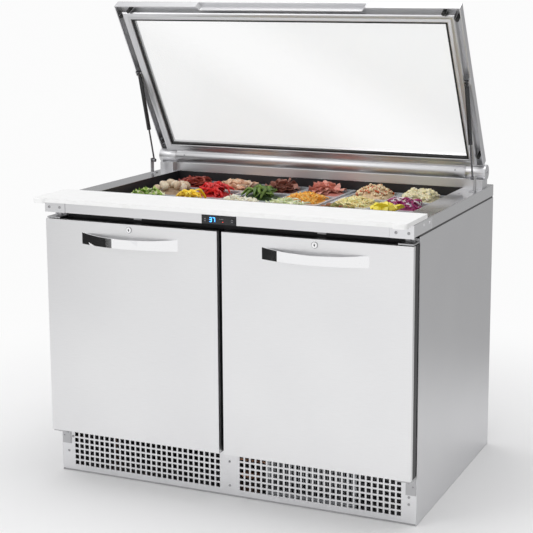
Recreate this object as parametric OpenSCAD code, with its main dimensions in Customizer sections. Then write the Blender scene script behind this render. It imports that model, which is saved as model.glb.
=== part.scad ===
// Two-door refrigerated sandwich prep table with a hinged glass lid.
// Origin: centre of the overall plan at floor level, +Z up, front towards -Y.

/* [Cabinet] */
// Overall width of the cabinet and counter
unit_w = 1223; // [1100:1:1300]
// Depth of the cabinet from its front frame to its back
body_d = 790; // [760:1:840]
// Height of the counter's top above the floor
work_h = 913; // [900:1:930]
// Height of the counter's turned-down rim
rim_h = 38; // [30:1:45]
// Height of the machine compartment
base_h = 150; // [140:1:160]
// Sheet thickness of skins
sheet = 2; // [1.5:0.5:3]
// Thickness of the insulated walls
wall_t = 49; // [40:1:55]

/* [Doors] */
// Height of a door's bottom edge
door_bottom = 156; // [153:1:165]
// Height of a door's top edge
door_top = 850; // [840:1:852]
// Thickness of a door without its gasket
door_t = 46; // [40:1:50]
// Space for the magnetic gasket behind a door
gasket_t = 10; // [8:1:14]
// Gap between the two doors
door_gap = 16; // [10:1:20]
// Length of a handle
handle_l = 338; // [300:1:360]
// How far a handle's strap stands out at its middle
handle_bow = 32; // [28:1:40]

/* [Work surface] */
// How far the cutting board reaches in front of the cabinet
board_reach = 125; // [115:1:140]
// Depth of the cutting board
board_d = 191; // [185:1:200]
// Thickness of the cutting board
board_t = 13; // [12:1:16]
// Width of one pan's rim
pan_w = 159; // [150:1:162]
// Depth of one pan's rim
pan_d = 174; // [168:1:176]
// Height of one pan
pan_h = 100; // [65:1:110]
// How far the pan rims lie below the counter
pan_drop = 30; // [24:1:40]

/* [Lid] */
// Lid angle above horizontal, as it stands open
lid_open = 59.1; // [50:0.1:65]
// Length of the lid from its hinge axis to its front
lid_l = 633; // [620:1:640]
// Width of the lid
lid_w = 1208; // [1190:1:1210]
// Height of the lid's frame
lid_t = 30; // [26:1:34]
// Height of the hinge axis above the counter
hinge_up = 52; // [50:1:58]
// Distance of the hinge axis behind the cabinet's front
hinge_back = 705; // [700:1:715]
// Radius of the hinge rail
rail_r = 25; // [22:1:26]

/* [Hidden] */
PAN_COLUMNS = 6;
PAN_ROWS = 3;
$fn = 48;

half_w = unit_w / 2;
front_y = board_reach - (body_d + board_reach) / 2;
back_y = front_y + body_d;
shell_top = work_h - rim_h - 6;
shell_in = half_w - sheet;
tray_h = 22;
socket_x = 540;
socket_y = [front_y + 60, back_y - 60];
socket_r = 6.35;
vent_pitch = 60;

// Storage space behind the doors
room_half_w = half_w - wall_t;
room_bottom = base_h + 45;
room_top = 800;
room_back_y = back_y - wall_t;
frame_t = 12;
mullion_half = 30;

// Opening in the counter and the pans in it
well_half_w = 535;
well_front_y = front_y + 146;
well_back_y = front_y + 690;
well_depth = 150;
well_wall = 3;
ledge_w = 17;
rim_z = work_h - pan_drop;
pan_gap = 1.5;
bar_w = 26;
group_w = 2 * pan_w + pan_gap;
group_pitch = group_w + bar_w - 10;
pan_pitch_y = pan_d + pan_gap;
pan_mid_y = (well_front_y + well_back_y) / 2 - 4;
pan_wall = 2.5;
pan_rim_w = 7;

// Doors
door_w = half_w - 1 - door_gap / 2;
door_mid = door_gap / 2 + door_w / 2;
door_front_y = front_y - gasket_t - door_t;
door_back_y = front_y - gasket_t;
pivot_x = half_w - 13.5;
pivot_y = front_y - 30;
pin_r = 4;
running_gap = 0.05;
door_skin = 1.5;
pivot_block = 44;
lock_sleeve_r = 9;
handle_z = 778;
handle_h = 36;
handle_t = 5;
lock_z = 833;
lock_r = 8.5;

// Fascia and board brackets
fascia_y = door_front_y;
fascia_bottom = 871.5;
bracket_w = 73;
bracket_d = 65;
display_w = 115;
display_h = 26;

// Lid, in its closed direction: x across, y = -distance from the axis, z = height over the axis
hinge_y = front_y + hinge_back;
hinge_z = work_h + hinge_up;
lid_half = lid_w / 2;
lid_under = -3;
lid_top = lid_under + lid_t;
lid_rear = 27;
glass_half = 550;
glass_front = 575;
glass_rear = 58;
glass_t = 4;
glass_z = 2;
rubber_w = 6;
frame_in = 26;
post_x = 543;
grip_half = 296;
grip_depth = 12;

// Gas struts
strut_x = 590;
stud_s = 364;
stud_t = -5;
foot_y = front_y + 606;
foot_z = work_h + 44;
stud_y = hinge_y - stud_s * cos(lid_open) + stud_t * sin(lid_open);
stud_z = hinge_z + stud_s * sin(lid_open) + stud_t * cos(lid_open);
strut_l = norm([foot_y - stud_y, foot_z - stud_z]);
strut_tilt = atan2(foot_y - stud_y, stud_z - foot_z);
tube_l = 212;
tube_r = 7;
rod_r = 3;
stud_r = 3.5;

// Kick grille
grille_pitch = 19.1;
grille_hole = 13.4;
grille_columns = 28;
grille_rows = 6;
grille_first_x = 41;
grille_first_z = 31;

// Shelves
shelf_z = 470;
shelf_half = 262;
shelf_front = front_y + 40;
shelf_back = front_y + 600;
shelf_rod = 3.5;
shelf_post = 28;

// Refrigeration
fan_x = 250;
fan_z = 76;
fan_y = front_y + 120;
fan_r = 56;
fan_shaft_r = 4;
compressor_x = -250;
compressor_r = 58;
compressor_wall = 8;
cooler_z = 640;
cooler_half_w = 240;
cooler_half_h = 90;
cooler_y = room_back_y - 90;
cooler_fan_r = 68;

module box(x0, x1, y0, y1, z0, z1) {
    translate([x0, y0, z0]) cube([x1 - x0, y1 - y0, z1 - z0]);
}

module both_sides() {
    children();
    mirror([1, 0, 0]) children();
}

module across(r, x0, x1) {
    translate([x0, 0, 0]) rotate([0, 90, 0]) cylinder(r = r, h = x1 - x0);
}

module lid_place() {
    translate([0, hinge_y, hinge_z]) rotate([-lid_open, 0, 0]) children();
}

module ring(half, rear, front, w, z0, z1) {
    difference() {
        box(-half, half, -front, -rear, z0, z1);
        box(-half + w, half - w, -front + w, -rear - w, z0 - 1, z1 + 1);
    }
}

module base_frame() {
    color("silver") difference() {
        union() {
            difference() {
                box(-shell_in, shell_in, front_y + 4, back_y - sheet, 0, tray_h);
                box(-shell_in + sheet, shell_in - sheet, front_y + 4 + sheet, back_y - 2 * sheet,
                    sheet, tray_h + 1);
            }
            for (sx = [-1, 1], y = socket_y)
                translate([sx * socket_x, y, 0]) cylinder(r = 20, h = 20);
            for (sx = [-1, 1], y = [front_y + 4, back_y - sheet - 30])
                translate([sx * (shell_in - 15), y + 15, base_h / 2]) cube([30, 30, base_h], center = true);
        }
        for (sx = [-1, 1], y = [front_y + 4, back_y - sheet - 30])
            translate([sx * (shell_in - 15), y + 15, base_h / 2 + 6]) cube([24, 24, base_h], center = true);
        for (sx = [-1, 1], y = socket_y)
            translate([sx * socket_x, y, -1]) cylinder(r = socket_r, h = 25);
    }
}

module cabinet_shell() {
    color("gainsboro") difference() {
        box(-half_w, half_w, front_y, back_y, 0, shell_top);
        box(-shell_in, shell_in, front_y - 1, back_y - sheet, -1, shell_top + 1);
        for (column = [-7:7], z = [50, 80, 110])
            translate([column * vent_pitch, 0, z])
                box(-20, 20, back_y - 2 * sheet, back_y + 1, 0, 6);
    }
}

module cabinet_liner() {
    color("whitesmoke") {
        difference() {
            box(-room_half_w - sheet, room_half_w + sheet, front_y + frame_t, room_back_y + sheet,
                room_bottom - sheet, shell_top - 3);
            box(-room_half_w, room_half_w, front_y, room_back_y, room_bottom, shell_top + 1);
        }
        box(-shell_in, shell_in, front_y + frame_t, back_y - sheet, base_h, base_h + sheet);
        for (y = [shelf_front, shelf_back - shelf_post])
            box(-shelf_post / 2, shelf_post / 2, y, y + shelf_post, room_bottom, work_h - well_depth - 4);
    }
}

module door_frame() {
    color("dimgray") difference() {
        box(-shell_in, shell_in, front_y, front_y + frame_t, base_h, shell_top - 3);
        for (side = [-1, 1]) {
            middle = side * (room_half_w + mullion_half) / 2;
            half = (room_half_w - mullion_half) / 2;
            box(middle - half, middle + half, front_y - 1, front_y + frame_t + 1, room_bottom, room_top);
        }
    }
}

module kick_grille() {
    color("lightgray") translate([0, front_y + sheet, 0]) rotate([90, 0, 0])
        linear_extrude(sheet) difference() {
            translate([-shell_in, 6]) square([2 * shell_in, base_h - 8]);
            for (side = [-1, 1], column = [0:grille_columns - 1], row = [0:grille_rows - 1])
                translate([side * (grille_first_x + column * grille_pitch),
                    grille_first_z + row * grille_pitch])
                    square(grille_hole, center = true);
        }
}

module counter_top() {
    color("silver") difference() {
        box(-half_w, half_w, fascia_y + sheet, back_y, work_h - rim_h, work_h);
        box(-half_w + sheet, half_w - sheet, front_y + 108, back_y - sheet, 0, work_h - sheet);
        box(-half_w - 1, half_w + 1, fascia_y, front_y + 108, 0, work_h - sheet);
        box(-well_half_w, well_half_w, well_front_y, well_back_y, 0, work_h + 1);
    }
}

module pan_well() {
    top = work_h - sheet;
    color("#202022") {
        difference() {
            box(-well_half_w - well_wall, well_half_w + well_wall,
                well_front_y - well_wall, well_back_y + well_wall, work_h - well_depth, top);
            box(-well_half_w, well_half_w, well_front_y, well_back_y, rim_z - 4, top + 1);
            box(-well_half_w + ledge_w, well_half_w - ledge_w, well_front_y + 11, well_back_y - 17,
                0, top + 1);
        }
        difference() {
            box(-half_w + 1.5, half_w - 1.5, front_y + 3, back_y - 1.5, shell_top, work_h - rim_h);
            box(-shell_in, shell_in, front_y, back_y - sheet, 0, shell_top + 0.1);
            box(-well_half_w - 30, well_half_w + 30, well_front_y - 60, well_back_y + 40, 0, work_h);
        }
    }
}

module divider_bars() {
    color("silver") for (side = [-1, 1])
        translate([side * group_pitch / 2, 0, 0])
            box(-bar_w / 2, bar_w / 2, well_front_y + 0.5, well_back_y - 0.5, rim_z - 4, rim_z - 2.5);
}

module adapter_bars() {
    color("silver") for (group = [-1, 0, 1], row = [-1, 1])
        translate([group * group_pitch, pan_mid_y + row * pan_pitch_y / 2, 0])
            box(-group_w / 2 + 9, group_w / 2 - 9, -6, 6, rim_z - 4, rim_z - 2.5);
}

function pan_x(column) = (floor((column - 1) / 2) - 1) * group_pitch
    + ((column - 1) % 2 == 0 ? -1 : 1) * (pan_w + pan_gap) / 2;
function pan_y(row) = pan_mid_y + (row - 2) * pan_pitch_y;

module rounded(w, d, r, h) {
    linear_extrude(h) {
        square([w - 2 * r, d], center = true);
        square([w, d - 2 * r], center = true);
        for (sx = [-1, 1], sy = [-1, 1])
            translate([sx * (w / 2 - r), sy * (d / 2 - r)]) circle(r = r);
    }
}

module pan(row, column) {
    body_w = pan_w - 2 * pan_rim_w;
    pan_body_d = pan_d - 2 * pan_rim_w;
    lift = pan_wall;
    color("azure") translate([pan_x(column), pan_y(row), rim_z - pan_h]) difference() {
        union() {
            rounded(body_w, pan_body_d, 16, pan_h - 1);
            translate([0, 0, pan_h - 2]) rounded(pan_w, pan_d, 6, 2);
        }
        translate([0, 0, lift])
            rounded(body_w - 2 * pan_wall, pan_body_d - 2 * pan_wall, 14, pan_h);
    }
}

module front_fascia() {
    color("gainsboro") difference() {
        box(-half_w + bracket_w + 0.5, half_w - bracket_w - 0.5, fascia_y, fascia_y + sheet,
            fascia_bottom, work_h);
        box(-display_w / 2, display_w / 2, fascia_y - 1, fascia_y + 5, 0, fascia_bottom + display_h + 1);
    }
}

module board_brackets() {
    color("gainsboro") both_sides() {
        box(half_w - bracket_w, half_w, fascia_y - 1, fascia_y + sheet, fascia_bottom, work_h - sheet);
        box(half_w - sheet, half_w, fascia_y + sheet, front_y + 107, fascia_bottom + 4, work_h - sheet);
        box(half_w - bracket_w, half_w - sheet, fascia_y + sheet, fascia_y + bracket_d,
            work_h - 3 * sheet, work_h - sheet);
        for (y = [front_y + 32, front_y + 86])
            translate([half_w - sheet, y, work_h - 15]) rotate([0, 90, 0]) cylinder(r = 4, h = sheet + 2);
    }
}

module cutting_board() {
    y0 = front_y - board_reach;
    color("white") {
        translate([0, y0 + 4 + (board_d - 4) / 2, work_h]) rounded(unit_w, board_d - 4, 4, board_t);
        both_sides() translate([half_w - 22, y0 + 17, work_h - 3]) rounded(42, 34, 8, board_t + 1);
    }
}

module temperature_controller() {
    color("#151517") difference() {
        union() {
            box(-display_w / 2 + 0.5, display_w / 2 - 0.5, fascia_y - 2, fascia_y + 30,
                fascia_bottom + 3, fascia_bottom + display_h - 2);
            box(-display_w / 2 + 0.5, display_w / 2 - 0.5, fascia_y - 2, fascia_y + 1,
                fascia_bottom + 0.5, fascia_bottom + display_h);
        }
        for (side = [-1, 1])
            translate([side * 45, 0, 0])
                box(-6, 6, fascia_y - 3, fascia_y + 1.5, fascia_bottom + 6, fascia_bottom + 20);
    }
}

module controller_key(side) {
    color("#2a2a2e") translate([side * 45, 0, 0])
        box(-5.5, 5.5, fascia_y - 3, fascia_y, fascia_bottom + 6.5, fascia_bottom + 19.5);
}

module hinge_posts() {
    color("lightgray") {
        both_sides() {
            translate([0, hinge_y, hinge_z]) across(rail_r, post_x + 0.5, lid_half + 7);
            box(post_x + 0.5, post_x + 34, hinge_y - 45, hinge_y + 30, work_h, work_h + 32);
            box(post_x + 34, lid_half, hinge_y - 30, hinge_y + 30, work_h, work_h + 30);
            translate([0, hinge_y, hinge_z]) across(6, post_x - 20, post_x + 1);
        }
        box(-post_x - 6, post_x + 6, hinge_y - 16, hinge_y - 16 + sheet, work_h, work_h + 28);
    }
}

module hinge_rail() {
    color("lightgray") translate([0, hinge_y, hinge_z]) difference() {
        union() {
            across(rail_r, -post_x, post_x);
            rotate([-lid_open, 0, 0])
                box(-post_x + 1, post_x - 1, -lid_rear, -10, lid_under, lid_under + 10);
        }
        across(rail_r - 3, -post_x + 30, post_x - 30);
        across(6 + running_gap, -post_x - 1, -post_x + 31);
        across(6 + running_gap, post_x - 31, post_x + 1);
    }
}

module grip_cut(half, depth, z0, z1) {
    translate([0, 0, z0]) linear_extrude(z1 - z0) polygon([
        [-half, -lid_l - 1],
        [half, -lid_l - 1],
        [half - depth, -lid_l + depth],
        [-half + depth, -lid_l + depth]]);
}

module lid_frame() {
    inner = glass_half + rubber_w;
    inner_rear = glass_rear - rubber_w;
    inner_front = glass_front + rubber_w;
    frame_outer = inner + frame_in;
    color("lightgray") lid_place() {
        difference() {
            union() {
                difference() {
                    box(-lid_half, lid_half, -lid_l, -lid_rear, lid_under, lid_top);
                    box(-lid_half + 3, lid_half - 3, -lid_l + 3, -lid_rear - 3, lid_under - 1, lid_top - 3);
                }
                difference() {
                    box(-frame_outer, frame_outer, -inner_front - frame_in, -lid_rear - 3,
                        lid_under + 2, lid_top - 2);
                    box(-frame_outer + 3, frame_outer - 3, -inner_front - frame_in + 3, -lid_rear - 6,
                        lid_under + 4, lid_top - 3);
                }
                box(-inner - 3, inner + 3, -inner_front - 3, -inner_rear + 3, lid_under + 3, lid_top - 2);
                grip_cut(grip_half + 3, grip_depth + 3, lid_under, lid_top - 1);
            }
            box(-inner, inner, -inner_front, -inner_rear, lid_under - 5, lid_top + 5);
            grip_cut(grip_half, grip_depth, lid_under - 1, lid_top - 6);
        }
        both_sides() translate([0, -stud_s, stud_t]) {
            across(stud_r, strut_x - 7, lid_half - 2);
            box(lid_half - 5, lid_half - 2, -9, 9, -6, 20);
        }
    }
}

module lid_glass() {
    color("lightcyan", 0.4) lid_place()
        box(-glass_half - 3, glass_half + 3, -glass_front - 3, -glass_rear + 3, glass_z, glass_z + glass_t);
}

module lid_gasket() {
    inner = glass_half + rubber_w;
    color("#181818") lid_place() difference() {
        ring(inner, glass_rear - rubber_w, glass_front + rubber_w, rubber_w,
            lid_under + 1.5, glass_z + glass_t + 4);
        box(-glass_half - 3, glass_half + 3, -glass_front - 3, -glass_rear + 3, glass_z, glass_z + glass_t);
    }
}

module lid_bumpers() {
    bumper_s = lid_l - 16;
    color("#181818") lid_place() both_sides() {
        translate([551, -bumper_s, lid_under - 10]) cylinder(r = 6, h = lid_t + 7);
        for (s = [64, 592])
            translate([strut_x, -s, lid_under - 3]) cylinder(r = 6, h = lid_t);
    }
}

module strut_place(side) {
    translate([side * strut_x, foot_y, foot_z]) rotate([strut_tilt, 0, 0]) children();
}

module strut_tube(side) {
    color("#1c1c1e") strut_place(side) difference() {
        union() {
            translate([0, 0, strut_l - tube_l]) cylinder(r = tube_r, h = tube_l - 16);
            translate([0, 0, strut_l - 20]) cylinder(r = 4, h = 16);
            translate([0, 0, strut_l]) across(7, -5, 5);
        }
        translate([0, 0, strut_l - tube_l - 1]) cylinder(r = rod_r + running_gap, h = 151);
        translate([0, 0, strut_l]) across(stud_r + running_gap, -6, 6);
    }
}

module strut_rod(side) {
    color("#3a3a3c") strut_place(side) {
        cylinder(r = rod_r, h = strut_l - tube_l + 40);
        across(6, -5.5, 5.5);
    }
}

module strut_brackets() {
    color("silver") both_sides() {
        box(lid_half - 7, lid_half - 4, foot_y - 10, foot_y + 10, work_h, foot_z + 8);
        box(lid_half - 24, lid_half - 4, foot_y - 10, foot_y + 10, work_h, work_h + 3);
    }
}

module door(side) {
    middle = side * door_mid;
    color("gainsboro") difference() {
        box(middle - door_w / 2, middle + door_w / 2, door_front_y, door_back_y, door_bottom, door_top);
        difference() {
            box(middle - door_w / 2 + door_skin, middle + door_w / 2 - door_skin, door_front_y + door_skin,
                door_back_y - door_skin, door_bottom + door_skin, door_top - door_skin);
            for (z = [door_bottom + pivot_block / 2, door_top - pivot_block / 2])
                translate([side * pivot_x, pivot_y, z])
                    cube([pivot_block, 2 * door_t, pivot_block], center = true);
            translate([middle, door_front_y, lock_z]) rotate([-90, 0, 0]) cylinder(r = lock_sleeve_r, h = 32);
        }
        for (z = [door_bottom - 1, door_top - 19])
            translate([side * pivot_x, pivot_y, z]) cylinder(r = pin_r + running_gap, h = 20);
        translate([middle, door_front_y - 1, lock_z]) rotate([-90, 0, 0])
            cylinder(r = 6 + running_gap, h = 31);
    }
}

module door_gasket(side) {
    outer_x = room_half_w + 20;
    inner_x = mullion_half - 18;
    gasket_w = 14;
    color("#1e1e1e") mirror([side < 0 ? 1 : 0, 0, 0]) difference() {
        box(inner_x, outer_x, door_back_y, front_y - 0.4, room_bottom - 22, room_top + 22);
        box(inner_x + gasket_w, outer_x - gasket_w, door_back_y - 1, front_y + 1,
            room_bottom - 22 + gasket_w, room_top + 22 - gasket_w);
    }
}

module door_handle(side) {
    bow_r = (pow(handle_l / 2, 2) + pow(handle_bow, 2)) / (2 * handle_bow);
    sag_r = 1900;
    color("whitesmoke") translate([side * door_mid, door_front_y, handle_z]) {
        difference() {
            intersection() {
                translate([0, bow_r - handle_bow, 0]) difference() {
                    cylinder(r = bow_r, h = handle_h, $fn = 128);
                    translate([0, 0, -1]) cylinder(r = bow_r - handle_t, h = handle_h + 2, $fn = 128);
                }
                box(-handle_l / 2, handle_l / 2, -handle_bow - 5, 0, 0, handle_h);
            }
            translate([0, -60, handle_h - 8 + sag_r]) rotate([-90, 0, 0])
                cylinder(r = sag_r, h = 80, $fn = 128);
        }
        for (end = [-1, 1])
            translate([end * (handle_l / 2 - 16), 0, 0]) box(-7, 7, -3, 0, 5, 24);
    }
}

module door_lock(side) {
    color("silver") translate([side * door_mid, door_front_y, lock_z]) rotate([-90, 0, 0]) {
        difference() {
            translate([0, 0, -3]) cylinder(r = lock_r, h = 2.7);
            translate([-0.8, -3.5, -4]) cube([1.6, 7, 2.5]);
        }
        translate([0, 0, -1]) cylinder(r = 6, h = 29);
    }
}

module door_hinges() {
    color("silver") both_sides() {
        box(pivot_x - 36, pivot_x + 11, pivot_y - 20, front_y, door_top + 2, door_top + 6);
        box(pivot_x - 30, pivot_x + 11, front_y - 3, front_y, door_top + 2, door_top + 15);
        translate([pivot_x, pivot_y, door_top - 17]) cylinder(r = pin_r, h = 20);
        box(pivot_x - 36, pivot_x + 11, pivot_y - 20, front_y, door_bottom - 6, door_bottom - 2);
        box(pivot_x - 20, pivot_x + 11, front_y - 3, front_y, door_bottom - 62, door_bottom - 2);
        translate([pivot_x, pivot_y, door_bottom - 3]) cylinder(r = pin_r, h = 20);
    }
}

module shelf(side) {
    half = shelf_half;
    color("white") mirror([side < 0 ? 1 : 0, 0, 0])
        translate([(mullion_half + room_half_w) / 2, 0, shelf_z]) {
            for (step = [-8:8])
                translate([step / 8 * (half - 6), shelf_front, shelf_rod + 1]) rotate([-90, 0, 0])
                    cylinder(r = 2, h = shelf_back - shelf_front, $fn = 16);
            for (y = [shelf_front + 6, (shelf_front + shelf_back) / 2, shelf_back - 6])
                translate([0, y, 0]) across(shelf_rod, -half, half);
            for (y = [shelf_front, shelf_back - 16]) {
                box(-half - 20, -half + 10, y, y + 16, -7, -3);
                box(half - 10, half + 4.25, y, y + 16, -7, -3);
            }
        }
}

module compressor() {
    color("#232325") translate([compressor_x, front_y + 330, 75]) {
        difference() {
            union() {
                across(compressor_r, -110, 110);
                translate([-110, 0, 0]) sphere(r = compressor_r);
                translate([110, 0, 0]) sphere(r = compressor_r);
            }
            across(compressor_r - compressor_wall, -110, 110);
            translate([-110, 0, 0]) sphere(r = compressor_r - compressor_wall);
            translate([110, 0, 0]) sphere(r = compressor_r - compressor_wall);
        }
        for (x = [-70, 70])
            translate([x, 0, -62]) cube([40, 110, 20], center = true);
    }
}

module motor(r, l) {
    cylinder(r = r, h = l);
    translate([0, 0, -21]) cylinder(r = fan_shaft_r, h = 22);
}

module condenser_coil() {
    y0 = front_y + 60;
    color("#8a8d90") {
        difference() {
            union() {
                box(fan_x - 150, fan_x + 150, y0, y0 + 3, 3, 146);
                box(fan_x - 150, fan_x + 150, y0 + 50, y0 + 53, 3, 146);
                for (x = [-148:8:148])
                    translate([fan_x + x, 0, 0]) box(-1, 1, y0 + 2, y0 + 52, 5, 145);
            }
            box(fan_x - 140, fan_x + 140, y0 - 1, y0 + 4, 12, 138);
            translate([fan_x, y0 + 45, fan_z]) rotate([-90, 0, 0]) cylinder(r = fan_r + 4, h = 30);
        }
        translate([fan_x, fan_y + 22, fan_z]) rotate([-90, 0, 0]) motor(26, 40);
        box(fan_x - 12, fan_x + 12, fan_y + 30, fan_y + 50, 3, fan_z - 20);
    }
}

module fan_wheel(r, blades) {
    difference() {
        union() {
            cylinder(r = r * 0.3, h = 20);
            for (blade = [1:blades])
                rotate([0, 0, blade * 360 / blades]) translate([r * 0.25, 0, 10]) rotate([28, 0, 0])
                    translate([0, -r * 0.28, -1]) cube([r * 0.68, r * 0.56, 2]);
        }
        translate([0, 0, -1]) cylinder(r = fan_shaft_r + running_gap, h = 22);
    }
}

module condenser_fan() {
    color("#2b2b2e") translate([fan_x, fan_y, fan_z]) rotate([-90, 0, 0]) fan_wheel(fan_r, 5);
}

module evaporator_coil() {
    back = room_back_y;
    low = cooler_z - cooler_half_h;
    high = cooler_z + cooler_half_h;
    color("#b8bcc0") {
        difference() {
            union() {
                box(-cooler_half_w, cooler_half_w, cooler_y, cooler_y + 3, low, high);
                box(-cooler_half_w, cooler_half_w, back - 4, back, low, high);
                for (x = [-29:29])
                    translate([x * 8, 0, 0]) box(-1, 1, back - 40, back - 3, low + 2, high - 2);
                for (side = [-1, 1])
                    translate([side * (cooler_half_w - 1.5), 0, 0]) box(-1.5, 1.5, cooler_y, back, low, high);
            }
            translate([0, cooler_y - 1, cooler_z]) rotate([-90, 0, 0]) cylinder(r = cooler_fan_r + 6, h = 10);
        }
        translate([0, back - 58, cooler_z]) rotate([-90, 0, 0]) motor(22, 18.5);
    }
}

module evaporator_fan() {
    color("#2b2b2e") translate([0, room_back_y - 80, cooler_z]) rotate([-90, 0, 0])
        fan_wheel(cooler_fan_r, 5);
}

base_frame();
cabinet_shell();
cabinet_liner();
door_frame();
kick_grille();
counter_top();
pan_well();
divider_bars();
adapter_bars();
front_fascia();
board_brackets();
cutting_board();
temperature_controller();
controller_key(-1);  // controller_key_left
controller_key(1);  // controller_key_right
hinge_posts();
hinge_rail();
lid_frame();
lid_glass();
lid_gasket();
lid_bumpers();
strut_tube(-1);  // strut_tube_left
strut_tube(1);  // strut_tube_right
strut_rod(-1);  // strut_rod_left
strut_rod(1);  // strut_rod_right
strut_brackets();
door(-1);  // door_left
door(1);  // door_right
door_gasket(-1);  // door_gasket_left
door_gasket(1);  // door_gasket_right
door_handle(-1);  // door_handle_left
door_handle(1);  // door_handle_right
door_lock(-1);  // door_lock_left
door_lock(1);  // door_lock_right
door_hinges();
shelf(-1);  // shelf_left
shelf(1);  // shelf_right
compressor();
condenser_coil();
condenser_fan();
evaporator_coil();
evaporator_fan();
for (row = [1:PAN_ROWS], column = [1:PAN_COLUMNS])
    pan(row, column);
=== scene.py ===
"""Looks of the sandwich prep table: camera, light, materials, fine hardware and the food in the pans."""

import math
import random

import bmesh
import bpy
from mathutils import Matrix, Vector, noise


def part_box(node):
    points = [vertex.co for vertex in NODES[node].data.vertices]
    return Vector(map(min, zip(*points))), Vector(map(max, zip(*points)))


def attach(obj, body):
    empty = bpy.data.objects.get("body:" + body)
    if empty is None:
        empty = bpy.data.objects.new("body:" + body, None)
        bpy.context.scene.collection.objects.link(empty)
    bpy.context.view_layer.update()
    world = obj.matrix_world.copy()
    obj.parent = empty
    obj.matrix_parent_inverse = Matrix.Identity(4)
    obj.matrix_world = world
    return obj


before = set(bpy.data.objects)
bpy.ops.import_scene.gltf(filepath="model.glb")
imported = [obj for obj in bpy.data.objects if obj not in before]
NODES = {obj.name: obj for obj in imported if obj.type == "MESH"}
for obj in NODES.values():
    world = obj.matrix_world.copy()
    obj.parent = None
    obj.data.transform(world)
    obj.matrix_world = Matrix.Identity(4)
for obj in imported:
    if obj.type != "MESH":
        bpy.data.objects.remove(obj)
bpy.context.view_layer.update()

MM = 0.001
UP = Vector((0, 0, 1))
FRONT = (0, -1, 0)
SIDES = ("left", "right")

# ---------------------------------------------------------------- camera, light and floor

CAMERA_AT = Vector((1.758, -3.876, 1.567))
CAMERA_YAW = 0.400
CAMERA_PITCH = 0.168
FOCAL_IN_FRAMES = 2.4916
CAMERA_SHIFT = (-0.075, -0.100)


def add_node(tree, kind):
    return tree.nodes.new("ShaderNode" + kind)


def compute(tree, operation, *values):
    """A math node fed by sockets and plain numbers."""
    node = add_node(tree, "Math")
    node.operation = operation
    for socket, value in zip(node.inputs, values):
        if isinstance(value, (int, float)):
            socket.default_value = value
        else:
            tree.links.new(value, socket)
    return node.outputs[0]


def make_camera():
    data = bpy.data.cameras.new("camera")
    data.sensor_width = 36.0
    data.lens = FOCAL_IN_FRAMES * data.sensor_width
    data.shift_x, data.shift_y = CAMERA_SHIFT
    data.clip_end = 100.0
    camera = bpy.data.objects.new("camera", data)
    camera.location = CAMERA_AT
    camera.rotation_euler = (math.pi / 2 - CAMERA_PITCH, 0, CAMERA_YAW)
    bpy.context.scene.collection.objects.link(camera)
    bpy.context.scene.camera = camera


def area_light(name, at, aim, size, power, tint=(1, 1, 1)):
    data = bpy.data.lights.new(name, "AREA")
    data.shape = "RECTANGLE"
    data.size, data.size_y = size
    data.energy = power
    data.color = tint
    lamp = bpy.data.objects.new(name, data)
    lamp.location = at
    lamp.rotation_euler = (Vector(aim) - Vector(at)).to_track_quat("-Z", "Y").to_euler()
    bpy.context.scene.collection.objects.link(lamp)
    return lamp


FLOOR_WHITE = 0.97


def make_world():
    """A white studio seen directly. Its light falls off towards the right and the back."""
    world = bpy.data.worlds.new("studio")
    world.use_nodes = True
    bpy.context.scene.world = world
    tree = world.node_tree
    tree.nodes.clear()
    out = add_node(tree, "OutputWorld")
    mix = add_node(tree, "MixShader")
    seen = add_node(tree, "Background")
    seen.inputs["Color"].default_value = (FLOOR_WHITE, FLOOR_WHITE, FLOOR_WHITE, 1)
    lit = add_node(tree, "Background")
    lit.inputs["Strength"].default_value = 0.9
    path = add_node(tree, "LightPath")
    coords = add_node(tree, "TexCoord")
    split = add_node(tree, "SeparateXYZ")
    tree.links.new(coords.outputs["Generated"], split.inputs[0])

    def ramp(source, stops, mode="EASE"):
        node = add_node(tree, "ValToRGB")
        node.color_ramp.interpolation = mode
        while len(node.color_ramp.elements) < len(stops):
            node.color_ramp.elements.new(0.5)
        for element, (position, level) in zip(node.color_ramp.elements, stops):
            element.position = position
            element.color = (level, level, level * 1.004, 1)
        tree.links.new(compute(tree, "MULTIPLY_ADD", source, 0.5, 0.5), node.inputs["Fac"])
        return node.outputs["Color"]

    def combine(mode, a, b):
        node = add_node(tree, "MixRGB")
        node.blend_type = mode
        node.inputs["Fac"].default_value = 1.0
        tree.links.new(a, node.inputs["Color1"])
        tree.links.new(b, node.inputs["Color2"])
        return node.outputs["Color"]

    side = ramp(split.outputs["X"], [(0.0, 1.0), (0.62, 1.0), (0.98, 0.34)])
    back = ramp(split.outputs["Y"], [(0.0, 1.0), (0.7, 0.95), (0.98, 0.42)])
    tree.links.new(combine("MULTIPLY", side, back), lit.inputs["Color"])
    tree.links.new(path.outputs["Is Camera Ray"], mix.inputs["Fac"])
    tree.links.new(lit.outputs[0], mix.inputs[1])
    tree.links.new(seen.outputs[0], mix.inputs[2])
    tree.links.new(mix.outputs[0], out.inputs[0])


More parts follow.
